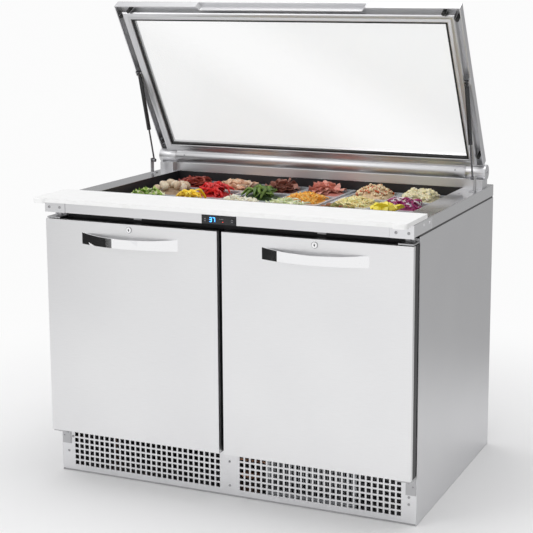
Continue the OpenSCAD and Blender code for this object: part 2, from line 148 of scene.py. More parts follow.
def make_floor():
    """A pale floor that turns into the studio's white well away from the object."""
    bpy.ops.mesh.primitive_plane_add(size=60, location=(0, 0, -0.0005))
    floor = bpy.context.active_object
    floor.name = "floor"
    paint = bpy.data.materials.new("floor_paint")
    paint.use_nodes = True
    tree = paint.node_tree
    shader = tree.nodes["Principled BSDF"]
    shader.inputs["Base Color"].default_value = (0.9, 0.9, 0.9, 1)
    shader.inputs["Roughness"].default_value = 0.7
    coords = add_node(tree, "TexCoord")
    length = add_node(tree, "VectorMath")
    length.operation = "LENGTH"
    fade = add_node(tree, "MapRange")
    fade.interpolation_type = "SMOOTHSTEP"
    fade.inputs["From Min"].default_value = 0.75
    fade.inputs["From Max"].default_value = 2.1
    white = add_node(tree, "Emission")
    white.inputs["Color"].default_value = (FLOOR_WHITE, FLOOR_WHITE, FLOOR_WHITE, 1)
    mix = add_node(tree, "MixShader")
    out = tree.nodes["Material Output"]
    depth = add_node(tree, "SeparateXYZ")
    behind = add_node(tree, "MapRange")
    behind.inputs["From Min"].default_value = -1.5
    behind.inputs["From Max"].default_value = 1.5
    behind.inputs["To Min"].default_value = 1.0
    behind.inputs["To Max"].default_value = 0.5
    path = add_node(tree, "LightPath")
    tree.links.new(coords.outputs["Object"], depth.inputs[0])
    tree.links.new(depth.outputs["Y"], behind.inputs["Value"])
    glow = compute(tree, "MAXIMUM", behind.outputs["Result"], path.outputs["Is Camera Ray"])
    tree.links.new(glow, white.inputs["Strength"])
    tree.links.new(coords.outputs["Object"], length.inputs[0])
    tree.links.new(length.outputs["Value"], fade.inputs["Value"])
    tree.links.new(fade.outputs["Result"], mix.inputs["Fac"])
    tree.links.new(shader.outputs[0], mix.inputs[1])
    tree.links.new(white.outputs[0], mix.inputs[2])
    tree.links.new(mix.outputs[0], out.inputs["Surface"])
    floor.data.materials.append(paint)


def make_card():
    """A dark card beside the set, seen only in polished metal: it gives the handles their dark ends."""
    bpy.ops.mesh.primitive_plane_add(size=1, location=(-2.4, -0.95, 0.55), rotation=(0, math.pi / 2, 0))
    card = bpy.context.active_object
    card.name = "dark_card"
    card.scale = (1.1, 3.0, 1)
    paper = bpy.data.materials.new("card_paper")
    paper.use_nodes = True
    shader = paper.node_tree.nodes["Principled BSDF"]
    shader.inputs["Base Color"].default_value = (0.01, 0.01, 0.01, 1)
    shader.inputs["Roughness"].default_value = 0.9
    card.data.materials.append(paper)
    card.visible_camera = False
    card.visible_diffuse = False
    card.visible_shadow = False
    card.visible_transmission = False


def make_studio():
    make_world()
    make_floor()
    make_card()
    area_light("key", (-3.0, -4.4, 4.4), (0, 0, 0.7), (2.4, 2.4), 52)
    area_light("top", (0.2, 0.2, 4.6), (0, 0, 0.9), (3.0, 1.8), 48)
    area_light("rim", (3.8, 2.4, 3.2), (0, 0, 0.8), (1.2, 2.2), 14)
    scene = bpy.context.scene
    scene.view_settings.view_transform = "Standard"


# ---------------------------------------------------------------- materials


class Nodes:
    """A material's node tree, with short helpers."""

    def __init__(self, name, color, rough, metal=0.0):
        self.material = bpy.data.materials.new(name)
        self.material.use_nodes = True
        self.tree = self.material.node_tree
        self.shader = self.tree.nodes["Principled BSDF"]
        self.shader.inputs["Base Color"].default_value = (*color, 1)
        self.shader.inputs["Roughness"].default_value = rough
        self.shader.inputs["Metallic"].default_value = metal
        self.coords = add_node(self.tree, "TexCoord")

    def link(self, a, b):
        self.tree.links.new(a, b)

    def noise(self, scale, stretch=(1, 1, 1), detail=3.0):
        mapping = add_node(self.tree, "Mapping")
        mapping.inputs["Scale"].default_value = stretch
        texture = add_node(self.tree, "TexNoise")
        texture.inputs["Scale"].default_value = scale
        texture.inputs["Detail"].default_value = detail
        self.link(self.coords.outputs["Object"], mapping.inputs["Vector"])
        self.link(mapping.outputs["Vector"], texture.inputs["Vector"])
        return texture.outputs["Fac"]

    def ramp(self, source, low, high, start=0.3, end=0.7):
        node = add_node(self.tree, "ValToRGB")
        node.color_ramp.elements[0].position = start
        node.color_ramp.elements[1].position = end
        node.color_ramp.elements[0].color = (*low, 1)
        node.color_ramp.elements[1].color = (*high, 1)
        self.link(source, node.inputs["Fac"])
        return node.outputs["Color"]

    def spread(self, source, low, high):
        node = add_node(self.tree, "MapRange")
        node.inputs["From Min"].default_value = 0.25
        node.inputs["From Max"].default_value = 0.75
        node.inputs["To Min"].default_value = low
        node.inputs["To Max"].default_value = high
        self.link(source, node.inputs["Value"])
        return node.outputs["Result"]

    def bump(self, source, strength, distance):
        node = add_node(self.tree, "Bump")
        node.inputs["Strength"].default_value = strength
        node.inputs["Distance"].default_value = distance
        self.link(source, node.inputs["Height"])
        self.link(node.outputs["Normal"], self.shader.inputs["Normal"])

    def set(self, socket, value):
        self.shader.inputs[socket].default_value = value


def shade(color, factor):
    return tuple(min(1.0, c * factor) for c in color)


def brushed_metal(name, color, rough, along, grain=900.0, contrast=0.05, bump=0.03):
    """Metal with fine lines along one axis, and slow patches of tone across the sheet."""
    m = Nodes(name, color, rough, 1.0)
    stretch = [1.0, 1.0, 1.0]
    for axis in range(3):
        stretch[axis] = 0.02 if axis == "xyz".index(along) else 1.0
    lines = m.noise(grain, stretch, 4.0)
    patches = m.noise(2.2, (1, 1, 1), 2.0)
    tone = add_node(m.tree, "MixRGB")
    tone.blend_type = "MULTIPLY"
    tone.inputs["Fac"].default_value = 1.0
    m.link(m.ramp(lines, shade(color, 1 - contrast), shade(color, 1 + contrast)), tone.inputs["Color1"])
    m.link(m.ramp(patches, (0.95, 0.95, 0.955), (1, 1, 1)), tone.inputs["Color2"])
    m.link(tone.outputs["Color"], m.shader.inputs["Base Color"])
    m.link(m.spread(lines, rough * 0.82, rough * 1.18), m.shader.inputs["Roughness"])
    m.bump(lines, bump, 0.0004)
    m.set("Anisotropic", 0.35)
    return m.material


def door_metal(name, color, rough, inner_y):
    """Brushed skin and inner panel, with dark plastic round the inner part of the door's edge."""
    material = brushed_metal(name, color, rough, "x", 1400.0, 0.025, 0.012)
    tree = material.node_tree
    shader = tree.nodes["Principled BSDF"]
    coords = add_node(tree, "TexCoord")
    place = add_node(tree, "SeparateXYZ")
    direction = add_node(tree, "SeparateXYZ")
    tree.links.new(coords.outputs["Object"], place.inputs[0])
    tree.links.new(coords.outputs["Normal"], direction.inputs[0])
    inner = compute(tree, "GREATER_THAN", place.outputs["Y"], inner_y)
    sideways = compute(tree, "LESS_THAN", direction.outputs["Y"], 0.6)
    plastic = compute(tree, "MULTIPLY", inner, sideways)
    tree.links.new(compute(tree, "SUBTRACT", 1.0, plastic), shader.inputs["Metallic"])
    paint = add_node(tree, "MixRGB")
    skin = shader.inputs["Base Color"].links[0].from_socket
    tree.links.new(plastic, paint.inputs["Fac"])
    tree.links.new(skin, paint.inputs["Color1"])
    paint.inputs["Color2"].default_value = (0.02, 0.02, 0.022, 1)
    tree.links.new(paint.outputs["Color"], shader.inputs["Base Color"])
    return material


def polished_metal(name, color, rough):
    m = Nodes(name, color, rough, 1.0)
    smears = m.noise(9.0, (1, 1, 1), 5.0)
    m.link(m.spread(smears, rough * 0.7, rough * 1.5), m.shader.inputs["Roughness"])
    m.link(m.ramp(m.noise(400.0), shade(color, 0.985), color), m.shader.inputs["Base Color"])
    return m.material


def moulded_plastic(name, color, rough, grain=700.0, bump=0.08):
    m = Nodes(name, color, rough)
    speckle = m.noise(grain, (1, 1, 1), 2.0)
    clouds = m.noise(5.0)
    m.link(m.ramp(clouds, shade(color, 0.93), shade(color, 1.04)), m.shader.inputs["Base Color"])
    m.link(m.spread(speckle, rough * 0.85, rough * 1.15), m.shader.inputs["Roughness"])
    m.bump(speckle, bump, 0.0006)
    return m.material


def board_plastic():
    """White polyethylene with a pebbled face and faint knife marks."""
    m = Nodes("cutting_board_white", (0.9, 0.9, 0.89), 0.42)
    pebbles = m.noise(420.0, (1, 1, 1), 2.0)
    cuts = m.noise(60.0, (0.5, 6.0, 1), 8.0)
    tone = m.ramp(cuts, (0.885, 0.885, 0.875), (0.93, 0.93, 0.925), 0.35, 0.5)
    m.link(tone, m.shader.inputs["Base Color"])
    m.link(m.spread(pebbles, 0.36, 0.5), m.shader.inputs["Roughness"])
    m.bump(pebbles, 0.15, 0.0005)
    m.set("Subsurface Weight", 0.08)
    m.set("Subsurface Radius", (0.004, 0.004, 0.004))
    return m.material


def clear_material(name, color, alpha, rough):
    """A clear sheet, seen as a partly covering gloss surface with faint handling marks."""
    m = Nodes(name, color, rough)
    marks = m.noise(14.0, (1, 1, 1), 6.0)
    m.link(m.spread(marks, rough * 0.6, rough * 1.8), m.shader.inputs["Roughness"])
    edge = add_node(m.tree, "LayerWeight")
    edge.inputs["Blend"].default_value = 0.35
    m.link(m.spread(edge.outputs["Facing"], alpha, min(1.0, alpha * 2.2)), m.shader.inputs["Alpha"])
    m.set("IOR", 1.55)
    return m.material


def pane_material():
    """The lid's clear pane, lightly hazed, with a painted reflection: a soft slantwise streak down it where
    the pane is made more see-through, so it shows lighter.
    """
    material = clear_material("lid_pane", (0.86, 0.88, 0.88), 0.14, 0.02)
    tree = material.node_tree
    shader = tree.nodes["Principled BSDF"]
    coords = add_node(tree, "TexCoord")
    across = add_node(tree, "VectorMath")
    across.operation = "DOT_PRODUCT"
    across.inputs[1].default_value = (0.535, 0, 0.845)
    # Painted reflection: along a slantwise line the pane's alpha drops to 15%, so the white behind shows
    # through as a lighter streak.
    painted_reflection_streak = add_node(tree, "ValToRGB")
    painted_reflection_streak.color_ramp.interpolation = "EASE"
    for _ in range(2):
        painted_reflection_streak.color_ramp.elements.new(0.5)
    stops = ((0, 1), (0.42, 0.15), (0.55, 0.15), (1, 1))
    for element, (position, level) in zip(painted_reflection_streak.color_ramp.elements, stops):
        element.position = position
        element.color = (level, level, level, 1)
    place = add_node(tree, "MapRange")
    place.inputs["From Min"].default_value = 0.86
    place.inputs["From Max"].default_value = 1.28
    haze = shader.inputs["Alpha"].links[0].from_socket
    tree.links.new(coords.outputs["Object"], across.inputs[0])
    tree.links.new(across.outputs["Value"], place.inputs["Value"])
    tree.links.new(place.outputs["Result"], painted_reflection_streak.inputs["Fac"])
    tree.links.new(compute(tree, "MULTIPLY", haze, painted_reflection_streak.outputs["Color"]), shader.inputs["Alpha"])
    return material


def glowing(name, color, strength):
    m = Nodes(name, shade(color, 0.2), 0.4)
    m.link(m.ramp(m.noise(900.0), shade(color, 0.9), color), m.shader.inputs["Emission Color"])
    m.set("Emission Strength", strength)
    return m.material


def food_material(name, rough=0.5, wet=0.15, soft=0.12):
    """Takes each morsel's own colour from the mesh, with mottling and a moist sheen."""
    m = Nodes(name, (0.8, 0.8, 0.8), rough)
    tint = add_node(m.tree, "VertexColor")
    tint.layer_name = "tint"
    mottle = add_node(m.tree, "MixRGB")
    mottle.blend_type = "MULTIPLY"
    mottle.inputs["Fac"].default_value = 1.0
    grain = m.noise(260.0, (1, 1, 1), 5.0)
    m.link(tint.outputs["Color"], mottle.inputs["Color1"])
    m.link(m.ramp(grain, (0.8, 0.8, 0.8), (1.0, 1.0, 1.0)), mottle.inputs["Color2"])
    m.link(mottle.outputs["Color"], m.shader.inputs["Base Color"])
    m.link(m.spread(grain, rough * 0.75, rough * 1.2), m.shader.inputs["Roughness"])
    m.bump(grain, 0.25, 0.001)
    m.set("Coat Weight", wet)
    m.set("Coat Roughness", 0.2)
    m.set("Subsurface Weight", soft)
    m.set("Subsurface Radius", (0.004, 0.002, 0.001))
    return m.material


def make_materials():
    steel = (0.68, 0.68, 0.69)
    return {
        "door": door_metal("door_steel", (0.86, 0.86, 0.865), 0.42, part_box("door_left")[1].y - 30 * MM),
        "side": brushed_metal("side_steel", (0.74, 0.74, 0.75), 0.36, "z", 1400.0, 0.03, 0.012),
        "front": brushed_metal("front_steel", (0.82, 0.82, 0.83), 0.4, "x", 1400.0, 0.025, 0.012),
        "counter": brushed_metal("counter_steel", steel, 0.13, "x", contrast=0.02, bump=0.008),
        "bar": brushed_metal("bar_steel", steel, 0.2, "y", contrast=0.03, bump=0.01),
        "zinc": polished_metal("zinc_plate", (0.5, 0.5, 0.51), 0.34),
        "aluminium_x": brushed_metal("lid_extrusion", (0.72, 0.72, 0.73), 0.4, "x", 1600.0, 0.04, 0.02),
        "liner": brushed_metal("liner_sheet", (0.82, 0.82, 0.83), 0.4, "z", 500.0),
        "chrome": polished_metal("handle_chrome", (0.9, 0.9, 0.91), 0.06),
        "screw": polished_metal("screw_steel", (0.42, 0.42, 0.43), 0.25),
        "black": moulded_plastic("black_plastic", (0.018, 0.018, 0.02), 0.5),
        "well": moulded_plastic("well_plastic", (0.02, 0.019, 0.021), 0.36, 300.0),
        "gloss_black": moulded_plastic("display_window", (0.012, 0.012, 0.014), 0.16, 900.0, 0.01),
        "key": moulded_plastic("key_plastic", (0.03, 0.03, 0.034), 0.4, 900.0, 0.03),
        "rubber": moulded_plastic("rubber", (0.02, 0.02, 0.02), 0.7, 500.0, 0.12),
        "tube": moulded_plastic("strut_enamel", (0.018, 0.018, 0.02), 0.28, 500.0, 0.02),
        "rod": polished_metal("nitrided_rod", (0.16, 0.16, 0.17), 0.22),
        "enamel": moulded_plastic("compressor_enamel", (0.022, 0.022, 0.025), 0.35, 220.0, 0.1),
        "wire": moulded_plastic("shelf_coat", (0.84, 0.84, 0.82), 0.34, 400.0, 0.04),
        "fin": brushed_metal("fin_aluminium", (0.66, 0.68, 0.7), 0.36, "z", 700.0),
        "fan": moulded_plastic("fan_plastic", (0.03, 0.03, 0.035), 0.42, 500.0),
        "copper": polished_metal("copper_pipe", (0.78, 0.42, 0.27), 0.24),
        "board": board_plastic(),
        "glass": pane_material(),
        "pan": clear_material("pan_polycarbonate", (0.56, 0.59, 0.62), 0.5, 0.06),
        "blue": glowing("digit_blue", (0.05, 0.32, 1.0), 5.0),
        "red": glowing("lamp_red", (1.0, 0.05, 0.03), 3.0),
        "symbol": moulded_plastic("key_print", (0.5, 0.5, 0.52), 0.5, 900.0, 0.01),
        "food": food_material("food_moist"),
        "food_dry": food_material("food_dry", 0.62, 0.03, 0.2),
    }


NODE_MATERIAL = {
    "base_frame": "zinc",
    "cabinet_shell": "side",
    "cabinet_liner": "liner",
    "door_frame": "black",
    "kick_grille": "front",
    "counter_top": "counter",
    "pan_well": "well",
    "divider_bars": "bar",
    "adapter_bars": "bar",
    "front_fascia": "front",
    "board_brackets": "front",
    "cutting_board": "board",
    "temperature_controller": "gloss_black",
    "controller_key": "key",
    "hinge_posts": "aluminium_x",
    "hinge_rail": "aluminium_x",
    "lid_frame": "aluminium_x",
    "lid_glass": "glass",
    "lid_gasket": "rubber",
    "lid_bumpers": "rubber",
    "strut_tube": "tube",
    "strut_rod": "rod",
    "strut_brackets": "zinc",
    "door_gasket": "rubber",
    "door_handle": "chrome",
    "door_lock": "chrome",
    "door_hinges": "zinc",
    "door_left": "door",
    "door_right": "door",
    "shelf": "wire",
    "compressor": "enamel",
    "condenser_coil": "fin",
    "condenser_fan": "fan",
    "evaporator_coil": "fin",
    "evaporator_fan": "fan",
    "pan_": "pan",
}
EDGE_ROUND_MM = {
    "door_left": 1.6,
    "door_right": 1.6,
    "counter_top": 0.8,
    "cutting_board": 2.2,
    "front_fascia": 0.6,
    "board_brackets": 0.8,
    "temperature_controller": 0.6,
    "controller_key": 0.8,
    "hinge_posts": 1.6,
    "hinge_rail": 0.8,
    "lid_frame": 0.8,
    "lid_gasket": 0.5,
    "lid_bumpers": 1.2,
    "strut_tube": 0.8,
    "strut_brackets": 0.6,
    "door_handle": 1.4,
    "door_lock": 0.5,
    "door_hinges": 0.7,
    "pan_": 0.7,
    "compressor": 1.5,
}


def longest_key(table, name):
    """The table's entry with the longest key that starts the node's name."""
    keys = [k for k in table if name.startswith(k)]
    return table[max(keys, key=len)] if keys else None


def dress_nodes():
    for name, node in NODES.items():
        material = MATERIALS[longest_key(NODE_MATERIAL, name)]
        node.data.materials.clear()
        node.data.materials.append(material)
        for polygon in node.data.polygons:
            polygon.material_index = 0
        width = longest_key(EDGE_ROUND_MM, name)
        if width:
            weld = node.modifiers.new("weld", "WELD")
            weld.merge_threshold = 0.00001
            bevel = node.modifiers.new("round", "BEVEL")
            bevel.width = width * MM
            bevel.segments = 2
            bevel.limit_method = "ANGLE"
            bevel.angle_limit = math.radians(38)
            bevel.harden_normals = True


# ---------------------------------------------------------------- mesh helpers


def finish_piece(name, bm, material, body, smooth=True):
    mesh = bpy.data.meshes.new(name)
    bmesh.ops.recalc_face_normals(bm, faces=bm.faces[:])
    bm.to_mesh(mesh)
    bm.free()
    for polygon in mesh.polygons:
        polygon.use_smooth = smooth
    piece = bpy.data.objects.new(name, mesh)
    bpy.context.scene.collection.objects.link(piece)
    piece.data.materials.append(MATERIALS[material])
    if smooth:
        mesh.set_sharp_from_angle(angle=math.radians(40))
    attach(piece, body)
    return piece


def facing(normal):
    """A rotation that takes +Z to the given direction."""
    return Vector(normal).to_track_quat("Z", "Y").to_matrix().to_4x4()


def in_mm(pairs):
    return [(radius * MM, height * MM) for radius, height in pairs]


def lathe(bm, outline, at, normal, segments=24):
    """A turned part: outline is (radius, height) pairs from the bottom centre to the top centre."""
    place = Matrix.Translation(Vector(at)) @ facing(normal)
    rings = []
    for radius, height in outline:
        if radius < 1e-7:
            rings.append([bm.verts.new(place @ Vector((0, 0, height)))])
            continue
        ring = []
        for k in range(segments):
            angle = 2 * math.pi * k / segments
            spot = Vector((radius * math.cos(angle), radius * math.sin(angle), height))
            ring.append(bm.verts.new(place @ spot))
        rings.append(ring)
    for low, high in zip(rings, rings[1:]):
        for k in range(segments):
            nxt = (k + 1) % segments
            corners = [low[k % len(low)], low[nxt % len(low)], high[nxt % len(high)], high[k % len(high)]]
            unique = list(dict.fromkeys(corners))
            if len(unique) >= 3:
                bm.faces.new(unique)


def bar(bm, low, high):
    """A closed box between two corners."""
    xs, ys, zs = zip(low, high)
    v = [bm.verts.new((x, y, z)) for x in xs for y in ys for z in zs]
    for face in ((0, 1, 3, 2), (4, 6, 7, 5), (0, 4, 5, 1), (2, 3, 7, 6), (0, 2, 6, 4), (1, 5, 7, 3)):
        bm.faces.new([v[k] for k in face])


def prism(bm, near, far):
    """A closed solid between two matching outlines."""
    a = [bm.verts.new(point) for point in near]
    b = [bm.verts.new(point) for point in far]
    bm.faces.new(a)
    bm.faces.new(list(reversed(b)))
    for k in range(len(a)):
        nxt = (k + 1) % len(a)
        bm.faces.new([a[k], a[nxt], b[nxt], b[k]])


def pipe(bm, points, radius, segments=12):
    """A closed round tube along the points."""
    points = [Vector(p) for p in points]
    rings = []
    side = None
    for k, point in enumerate(points):
        ahead = points[min(k + 1, len(points) - 1)] - points[max(k - 1, 0)]
        ahead.normalize()
        if side is None:
            side = ahead.orthogonal().normalized()
        side = (side - ahead * side.dot(ahead)).normalized()
        other = ahead.cross(side)
        ring = []
        for j in range(segments):
            angle = 2 * math.pi * j / segments
            ring.append(bm.verts.new(point + (side * math.cos(angle) + other * math.sin(angle)) * radius))
        rings.append(ring)
    for low, high in zip(rings, rings[1:]):
        for j in range(segments):
            nxt = (j + 1) % segments
            bm.faces.new([low[j], low[nxt], high[nxt], high[j]])
    bm.faces.new(list(reversed(rings[0])))
    bm.faces.new(rings[-1])


def bend_points(corners, radius, steps=6):
    """The corners' path with each inner corner rounded."""
    corners = [Vector(c) for c in corners]
    path = [corners[0]]
    for before, corner, after in zip(corners, corners[1:], corners[2:]):
        start = corner + (before - corner).normalized() * radius
        end = corner + (after - corner).normalized() * radius
        for k in range(steps + 1):
            t = k / steps
            path.append(start * (1 - t) ** 2 + corner * 2 * t * (1 - t) + end * t * t)
    path.append(corners[-1])
    return path


def screw_head(bm, at, normal, radius):
    """A pan head with a cross recess, standing on its seat."""
    place = Matrix.Translation(Vector(at)) @ facing(normal)
    dome = 0.42 * radius
    recess = 0.62 * radius
    slot = 0.14 * radius
    outline = [(radius, 0.0), (radius, dome * 0.3), (radius * 0.86, dome * 0.75), (radius * 0.66, dome)]
    lathe(bm, [(0, -0.0002)] + outline + [(0, dome)], at, normal, 20)
    for turn in (0, math.pi / 2):
        spin = place @ Matrix.Rotation(turn, 4, "Z")
        corners = [(-recess, -slot), (recess, -slot), (recess, slot), (-recess, slot)]
        low = [spin @ Vector((x, y, dome - 0.0001)) for x, y in corners]
        high = [spin @ Vector((x * 0.9, y, dome + 0.00015)) for x, y in corners]
        prism(bm, high, low)


# ---------------------------------------------------------------- lid geometry in its open position

LID_RISE = math.radians(59.1)
RAIL_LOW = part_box("hinge_rail")[0]
POST_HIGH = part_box("hinge_posts")[1]
RAIL_RADIUS = 0.025
AXIS = Vector((0, RAIL_LOW.y + RAIL_RADIUS, POST_HIGH.z - RAIL_RADIUS))
ALONG = Vector((0, -math.cos(LID_RISE), math.sin(LID_RISE)))
OUT = Vector((0, math.sin(LID_RISE), math.cos(LID_RISE)))
LID_UNDER = -3 * MM


def on_lid(x, s, t):
    """A point at x, s metres from the hinge axis along the lid and t metres towards its outer face."""
    return AXIS + Vector((x, 0, 0)) + ALONG * s + OUT * t


def place_on_lid(bm):
    """Takes vertices given as (x, distance along the lid, height over the axis) to the open lid."""
    for vertex in bm.verts:
        vertex.co = on_lid(*vertex.co)


# ---------------------------------------------------------------- hardware


def make_screws():
    grille_low, grille_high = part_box("kick_grille")
    face = grille_low.y
    bm = bmesh.new()
    edge = grille_high.x - 22 * MM
    beside_hinge = 17 * MM - edge
    for x, z in ((0, 35), (0, 113), (-edge, 68), (beside_hinge, 118), (edge, 64), (edge, 86)):
        screw_head(bm, (x, face, z * MM), FRONT, 4.2 * MM)
    finish_piece("grille_screws", bm, "screw", "cabinet")

    bracket_low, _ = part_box("board_brackets")
    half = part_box("counter_top")[1].x
    bm = bmesh.new()
    for side in (-1, 1):
        for inset in (16, 54):
            at = (side * (half - inset * MM), bracket_low.y, bracket_low.z + 16 * MM)
            screw_head(bm, at, FRONT, 4.6 * MM)
    finish_piece("bracket_screws", bm, "screw", "cabinet")

    hinge_low, hinge_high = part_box("door_hinges")
    flange = face - 3 * MM
    bm = bmesh.new()
    for side in (-1, 1):
        edge = side * (hinge_high.x - 8 * MM)
        for x, z in ((0, 26), (0, 48), (-side * 15, 37)):
            screw_head(bm, (edge + x * MM, flange, hinge_low.z + z * MM), FRONT, 3.0 * MM)
        for x in (0, -side * 16):
            screw_head(bm, (edge + x * MM, flange, hinge_high.z - 6.5 * MM), FRONT, 2.8 * MM)
    finish_piece("hinge_screws", bm, "screw", "cabinet")

    door_low, door_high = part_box("door_right")
    pivot_x, pivot_y = door_high.x - 12.5 * MM, door_low.y + 26 * MM
    bm = bmesh.new()
    for side in (-1, 1):
        at = (side * pivot_x, pivot_y, door_low.z - 13 * MM)
        lathe(bm, in_mm(((0, 0), (5, 0), (8, 3), (8, 7), (0, 7))), at, UP, 28)
    finish_piece("hinge_nuts", bm, "screw", "cabinet")

    bm = bmesh.new()
    toward = Vector((0, -1, 0.25)).normalized()
    for side in (-1, 1):
        along = Vector((side * 508 * MM, 0, 0))
        screw_head(bm, AXIS + along + toward * RAIL_RADIUS, toward, 3.0 * MM)
    finish_piece("rail_screws", bm, "screw", "lid")

    bm = bmesh.new()
    beside_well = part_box("pan_well")[0].y + 550 * MM
    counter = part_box("counter_top")[1].z
    for side in (-1, 1):
        screw_head(bm, (side * POST_HIGH.x, AXIS.y, AXIS.z), (side, 0, 0), 4.0 * MM)
        screw_head(bm, (side * 560 * MM, beside_well, counter), UP, 3.2 * MM)
    finish_piece("counter_screws", bm, "screw", "cabinet")


def make_door_hardware():
    """A strike plate in the dark gap above each door, and the bezel and keyway of its lock."""
    for name in SIDES:
        door_low, door_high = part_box("door_" + name)
        middle = (door_low.x + door_high.x) / 2
        frame_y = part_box("door_frame")[0].y
        bm = bmesh.new()
        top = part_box("front_fascia")[0].z
        corner = (middle + 14 * MM, frame_y, top - 4 * MM)
        for reach, drop in ((30 * MM, 6 * MM), (2 * MM, 16 * MM)):
            bar(bm, (middle - 14 * MM, frame_y - reach, top - drop), corner)
        bmesh.ops.bevel(bm, geom=bm.edges[:], offset=0.5 * MM, segments=2, affect="EDGES")
        finish_piece(f"lock_strike_{name}", bm, "zinc", "cabinet", False)

        bm = bmesh.new()
        lock_low, lock_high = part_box("door_lock_" + name)
        at = Vector(((lock_low.x + lock_high.x) / 2, door_low.y, (lock_low.z + lock_high.z) / 2))
        outline = [(8.8, 0), (10.6, 0), (10.6, 0.6), (9.6, 1.2), (8.8, 1.2), (8.8, 0)]
        lathe(bm, in_mm(outline), at, FRONT, 40)
        finish_piece(f"lock_bezel_{name}", bm, "screw", f"{name}_door")

        bm = bmesh.new()
        at.y = lock_low.y
        outline = [(0, -0.3), (2.6, -0.3), (2.4, 0.25), (0, 0.3)]
        lathe(bm, in_mm(outline), at, FRONT, 24)
        slot = (0.7 * MM, 0.4 * MM, 4.6 * MM)
        bar(bm, at - Vector(slot), at + Vector(slot))
        finish_piece(f"lock_keyway_{name}", bm, "black", f"{name}_lock")


SEGMENTS = {
    "a": ((0.1, 1.0), (0.9, 1.0)),
    "b": ((1.0, 0.9), (1.0, 0.55)),
    "c": ((1.0, 0.45), (1.0, 0.1)),
    "d": ((0.1, 0.0), (0.9, 0.0)),
    "e": ((0.0, 0.45), (0.0, 0.1)),
    "f": ((0.0, 0.9), (0.0, 0.55)),
    "g": ((0.1, 0.5), (0.9, 0.5)),
}
DIGITS = {"3": "abcdg", "7": "abc"}


def make_display():
    """Two lit digits, a small lamp and plain arrow marks on the keys."""
    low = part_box("temperature_controller")[0]
    face = low.y - 0.1 * MM
    base = low.z + 7 * MM
    bm = bmesh.new()
    for digit, left in (("3", -30 * MM), ("7", -19 * MM)):
        for name in DIGITS[digit]:
            (x0, z0), (x1, z1) = SEGMENTS[name]
            width, height, pen = 6.4 * MM, 12.5 * MM, 0.9 * MM
            a = (left + min(x0, x1) * width - pen, face, base + min(z0, z1) * height - pen)
            b = (left + max(x0, x1) * width + pen, face + 0.3 * MM, base + max(z0, z1) * height + pen)
            bar(bm, a, b)
    finish_piece("display_digits", bm, "blue", "cabinet", False)
    bm = bmesh.new()
    lamp = in_mm(((0, 0), (1.1, 0), (0.9, 0.4), (0, 0.5)))
    lathe(bm, lamp, (14 * MM, face, base + 1 * MM), FRONT, 16)
    finish_piece("display_lamp", bm, "red", "cabinet")
    bm = bmesh.new()
    for k in range(3):
        x = (2 + 5 * k) * MM
        bar(bm, (x, face, base + 9 * MM), (x + 3.4 * MM, face + 0.3 * MM, base + 10 * MM))
    finish_piece("display_marks", bm, "symbol", "cabinet", False)
    for name in SIDES:
        key_low, key_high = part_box("controller_key_" + name)
        front = key_low.y - 0.1 * MM
        x = (key_low.x + key_high.x) / 2
        z = (key_low.z + key_high.z) / 2
        bm = bmesh.new()
        for up in (-1, 1):
            centre = z + up * 3.4 * MM
            foot = centre - up * 1.2 * MM
            points = [(x - 1.9 * MM, foot), (x + 1.9 * MM, foot), (x, centre + up * 1.6 * MM)]
            near = [(px, front, pz) for px, pz in points]
            far = [(px, front + 0.3 * MM, pz) for px, pz in points]
            prism(bm, near, far)
        finish_piece(f"key_marks_{name}", bm, "symbol", f"key_{name}", False)


def make_lid_mouldings():
    """Raised beads on the lid's inner frame, drawn along all four sides with mitred corners."""
    bm = bmesh.new()
    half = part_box("lid_glass")[1].x + 3 * MM
    rear, front = 52 * MM, 581 * MM
    profile = [(0, 0), (1.5, -3.2), (6, -4.2), (11, -2), (15, -1.6), (19, -3.6), (24, -3.4), (26.5, 0)]
    loops = []
    for out, drop in profile:
        o = out * MM
        t = LID_UNDER + 1.9 * MM + drop * MM
        x, near, far = half + o, rear - o, front + o
        corners = [(-x, near), (x, near), (x, far), (-x, far)]
        loops.append([bm.verts.new((across, along, t)) for across, along in corners])
    loops.append(loops[0])
    for a, b in zip(loops, loops[1:]):
        for k in range(4):
            nxt = (k + 1) % 4
            bm.faces.new([a[k], a[nxt], b[nxt], b[k]])
    place_on_lid(bm)
    finish_piece("lid_inner_moulding", bm, "aluminium_x", "lid")


